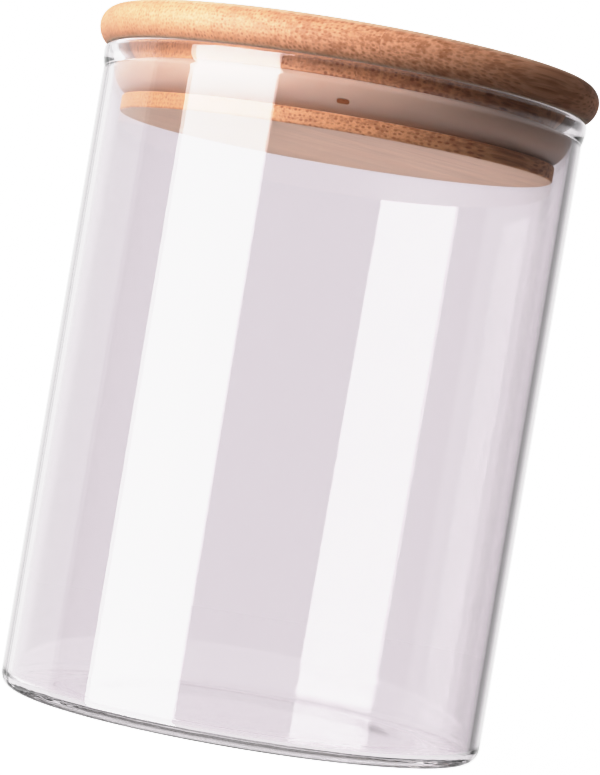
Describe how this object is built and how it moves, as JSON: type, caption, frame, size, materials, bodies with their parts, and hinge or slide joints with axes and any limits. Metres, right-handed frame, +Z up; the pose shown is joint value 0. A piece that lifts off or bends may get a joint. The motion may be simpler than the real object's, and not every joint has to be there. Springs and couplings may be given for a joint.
{
  "type": "lidded glass canister",
  "caption": "Straight-sided round glass storage jar with a flat bamboo lid that lifts off, sealed by a hollow ring with a vent slot.",
  "frame": {"origin": "centre of the jar's base, on the surface it stands on", "axes": "+Z up along the jar's axis; the seal's vent slot faces -Y, which is the front"},
  "size_m": [0.1044, 0.1044, 0.1415],
  "materials": {
    "glass": "clear, fire-polished",
    "silicone": "translucent grey, smooth",
    "bamboo_cap": "sanded and oiled, edge grain showing as dots",
    "bamboo_plug": "sanded, unsealed, edge grain showing as dots"
  },
  "bodies": {
    "jar": {"glass_jar": "glass"},
    "seal": {"seal_ring": "silicone"},
    "lid": {"cap_strip_1": "bamboo_cap", "cap_strip_2": "bamboo_cap", "cap_strip_3": "bamboo_cap", "cap_strip_4": "bamboo_cap", "cap_strip_5": "bamboo_cap", "cap_strip_6": "bamboo_cap", "cap_strip_7": "bamboo_cap", "plug_strip_1": "bamboo_plug", "plug_strip_2": "bamboo_plug", "plug_strip_3": "bamboo_plug", "plug_strip_4": "bamboo_plug", "plug_strip_5": "bamboo_plug", "plug_strip_6": "bamboo_plug"}
  },
  "joints": [
    {"name": "lid_lift", "type": "slide", "parent": "jar", "child": "seal", "axis": [0, 0, 1], "range_m": [0, 0.12]},
    {"name": "lid_turn", "type": "hinge", "parent": "seal", "child": "lid", "pos_m": [0, 0, 0.1337], "axis": [0, 0, 1], "continuous": true}
  ]
}
